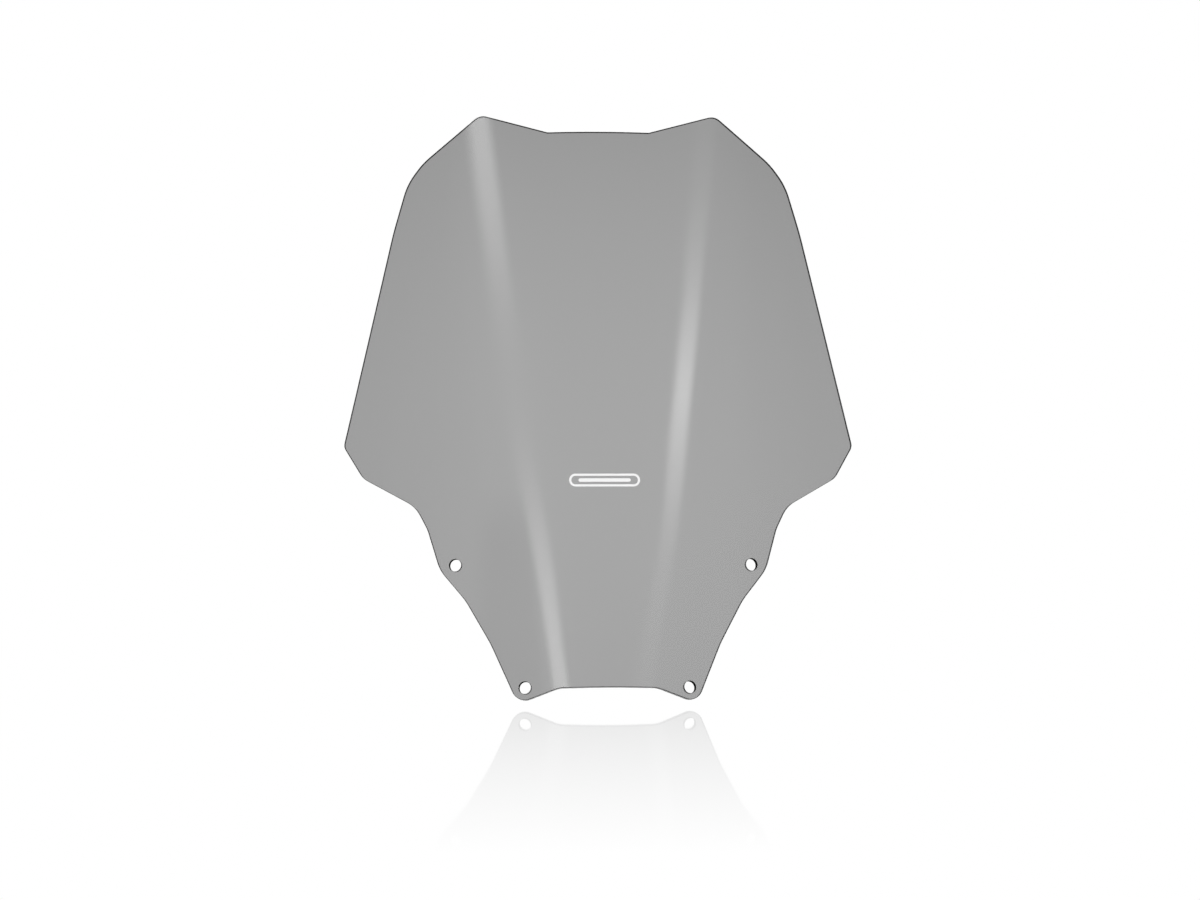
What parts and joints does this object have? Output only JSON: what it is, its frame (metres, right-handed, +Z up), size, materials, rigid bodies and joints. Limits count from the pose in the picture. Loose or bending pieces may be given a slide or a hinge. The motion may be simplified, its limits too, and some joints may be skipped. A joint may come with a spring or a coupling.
{
  "type": "windshield screen",
  "caption": "Smoked clear acrylic motorcycle windshield screen, formed with swept side panels and a notched top, with drilled mounting holes near its lower edge.",
  "frame": {"origin": "Bottom centre of the bounding box: X = 0 is the screen's mirror plane, Z = 0 its lowest edge, and Y = 0 the middle of its depth.", "axes": "+X to the right seen from in front of the motorcycle, +Y to the back, towards the rider, +Z up. The screen leans back as it does on the motorcycle."},
  "size_m": [0.4432, 0.131, 0.5034],
  "materials": {
    "smoked_acrylic": "gloss",
    "white_print": "satin"
  },
  "bodies": {
    "root": {"screen_panel": "smoked_acrylic", "front_mark": "white_print"}
  },
  "joints": []
}
